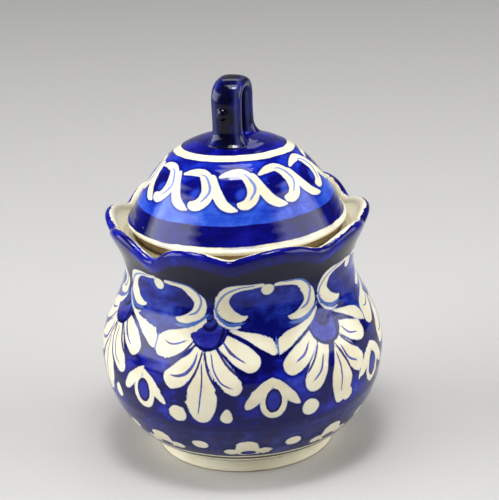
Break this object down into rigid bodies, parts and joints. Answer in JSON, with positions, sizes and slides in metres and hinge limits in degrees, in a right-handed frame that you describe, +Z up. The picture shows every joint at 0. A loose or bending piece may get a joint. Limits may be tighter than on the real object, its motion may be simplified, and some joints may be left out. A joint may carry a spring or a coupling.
{
  "type": "sugar bowl",
  "caption": "Round-bellied glazed sugar bowl with a scalloped rim, a foot ring and a domed lift-off lid that has a strap loop handle.",
  "frame": {"origin": "centre of the foot ring's resting face, on the bowl's axis", "axes": "+Z up along the bowl's axis, -Y towards the front, +X to the right"},
  "size_m": [0.1, 0.1, 0.1344],
  "materials": {
    "bowl_glaze": "high-gloss clear glaze over cobalt brushwork on an ivory ground",
    "foot_glaze": "glossy ivory glaze, wiped dry on the resting face",
    "lid_glaze": "high-gloss clear glaze over cobalt brushwork on an ivory ground",
    "flange_glaze": "glossy ivory glaze",
    "handle_glaze": "high-gloss deep navy glaze"
  },
  "bodies": {
    "bowl": {"bowl_body": "bowl_glaze", "foot_ring": "foot_glaze"},
    "lid": {"lid_dome": "lid_glaze", "lid_flange": "flange_glaze", "lid_handle": "handle_glaze"}
  },
  "joints": [
    {"name": "lid_lift", "type": "slide", "parent": "bowl", "child": "lid", "axis": [0, 0, 1], "range_m": [0, 0.06]}
  ]
}
